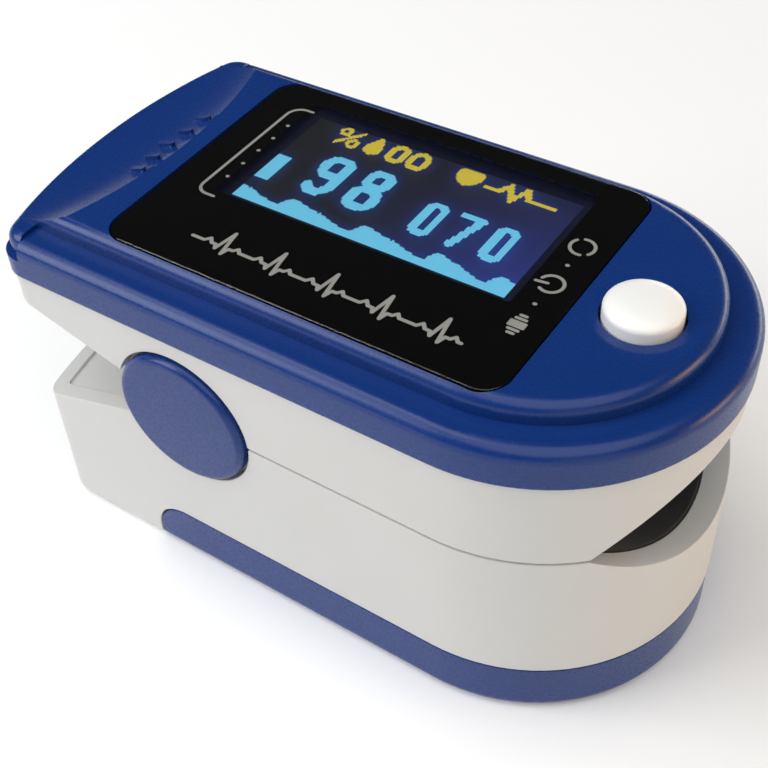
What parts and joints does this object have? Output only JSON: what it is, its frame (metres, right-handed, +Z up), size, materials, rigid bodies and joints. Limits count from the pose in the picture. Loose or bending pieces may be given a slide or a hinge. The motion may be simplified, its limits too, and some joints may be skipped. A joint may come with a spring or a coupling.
{
  "type": "fingertip pulse oximeter",
  "caption": "Small two-part clip that closes on a fingertip, with a display and a button on top, a hinge at the side and a sliding battery cover underneath.",
  "frame": {"origin": "on the table under the case, 28.5 mm behind its front and on its middle line", "axes": "+X out of the finger opening, +Y across to the left when looking out of the opening, +Z up through the display"},
  "size_m": [0.0578, 0.0316, 0.0333],
  "materials": {
    "blue_abs": "moulded ABS, semi-gloss, fine moulded texture",
    "white_abs": "moulded ABS, low gloss, slightly warm",
    "button_abs": "moulded ABS, satin",
    "lens_acrylic": "acrylic, printed black on the back, polished",
    "panel_glass": "display glass, polished",
    "black_rubber": "silicone rubber, matt",
    "window_epoxy": "clear epoxy tinted red by the parts behind it",
    "circuit_board": "glass-fibre board with green solder mask",
    "chip_epoxy": "moulded epoxy",
    "carrier_plastic": "natural plastic",
    "flex_film": "polyimide film",
    "steel": "bright drawn and plated steel",
    "cell_jacket": "printed foil jacket"
  },
  "bodies": {
    "lower_half": {"lower_shell": "white_abs", "lower_pad": "black_rubber", "sensor_window": "window_epoxy", "sensor_board": "circuit_board", "hinge_pin": "steel", "torsion_springs": "steel", "side_discs": "blue_abs", "batteries": "cell_jacket", "battery_springs": "steel", "battery_contacts": "steel", "sensor_flex": "flex_film"},
    "upper_half": {"upper_shell": "white_abs", "upper_pad": "black_rubber", "emitter_window": "window_epoxy", "emitter_board": "circuit_board", "top_cover": "blue_abs", "cover_screws": "steel", "display_lens": "lens_acrylic", "oled_panel": "panel_glass", "oled_carrier": "carrier_plastic", "main_board": "circuit_board", "board_parts": "chip_epoxy", "tact_switch": "chip_epoxy"},
    "power_button": {"power_button": "button_abs", "switch_plunger": "carrier_plastic"},
    "battery_cover": {"battery_cover": "blue_abs"}
  },
  "joints": [
    {"name": "clip_hinge", "type": "hinge", "parent": "lower_half", "child": "upper_half", "pos_m": [-0.0099, 0, 0.0187], "axis": [0, -1, 0], "range_deg": [0, 34], "stiffness_Nm_per_rad": 0.1, "springref_deg": -20.05, "deforming": ["torsion_springs", "sensor_flex"]},
    {"name": "power_press", "type": "slide", "parent": "upper_half", "child": "power_button", "axis": [0, 0, -1], "range_m": [0, 0.00035], "stiffness_N_per_m": 3000, "springref_m": -0.0002},
    {"name": "battery_slide", "type": "slide", "parent": "lower_half", "child": "battery_cover", "axis": [1, 0, 0], "range_m": [0, 0.046]}
  ]
}
